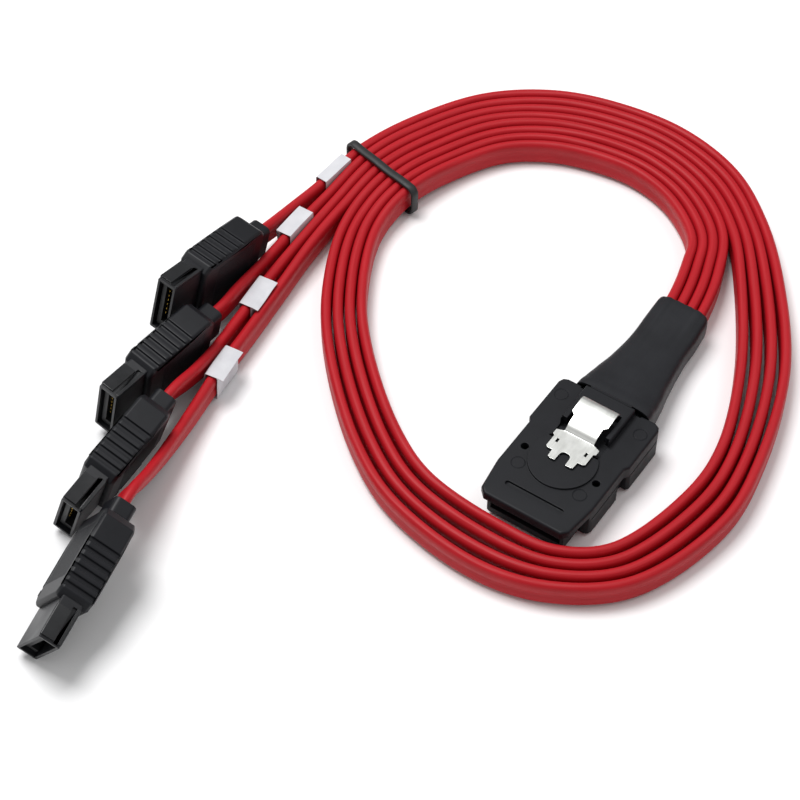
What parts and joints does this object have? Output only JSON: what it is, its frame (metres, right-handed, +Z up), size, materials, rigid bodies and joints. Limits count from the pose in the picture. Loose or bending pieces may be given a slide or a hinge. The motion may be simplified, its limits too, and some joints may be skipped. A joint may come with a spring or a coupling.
{
  "type": "mini sas breakout cable",
  "caption": "Flat cables fan out from a latching 36-circuit plug with a heat-shrink sleeve to single-lane SATA plugs, looped once and held by a strap",
  "frame": {"origin": "On the flat underside of the mini SAS plug, under its middle, 17.5 mm in front of its back edge", "axes": "+Z up from the surface the cable lies on, -Y the way the plug mates, +X across the plug to the right seen from above with the nose pointing at the viewer"},
  "size_m": [0.1305, 0.1978, 0.021],
  "materials": {
    "plug_plastic": "fine-textured moulding",
    "card": "solder-masked glass laminate with gold fingers",
    "potting": "satin hot-melt potting",
    "latch_steel": "bright rolled stainless sheet",
    "sleeve": "satin heat-shrink tube",
    "cable_jacket": "satin extruded jacket",
    "label_film": "satin printed-label film, left bare",
    "tie_rubber": "satin",
    "sata_plastic": "satin moulding",
    "contact_insert": "black insulator with gold contacts"
  },
  "bodies": {
    "cable_set": {"plug_upper_shell": "plug_plastic", "plug_lower_shell": "plug_plastic", "paddle_card": "card", "wire_mould": "potting", "shrink_sleeve": "sleeve", "cable_1": "cable_jacket", "cable_2": "cable_jacket", "cable_3": "cable_jacket", "cable_4": "cable_jacket", "marker_label_1": "label_film", "marker_label_2": "label_film", "marker_label_3": "label_film", "marker_label_4": "label_film", "cable_tie": "tie_rubber", "sata_head_1": "sata_plastic", "sata_contact_insert_1": "contact_insert", "sata_boot_1": "sata_plastic", "sata_head_2": "sata_plastic", "sata_contact_insert_2": "contact_insert", "sata_boot_2": "sata_plastic", "sata_head_3": "sata_plastic", "sata_contact_insert_3": "contact_insert", "sata_boot_3": "sata_plastic", "sata_head_4": "sata_plastic", "sata_contact_insert_4": "contact_insert", "sata_boot_4": "sata_plastic"},
    "latch_spring": {"latch": "latch_steel"}
  },
  "joints": [
    {"name": "latch_press", "type": "hinge", "parent": "cable_set", "child": "latch_spring", "pos_m": [0, -0.0033, 0.0096], "axis": [-1, 0, 0], "range_deg": [0, 3], "stiffness_Nm_per_rad": 0.05}
  ]
}
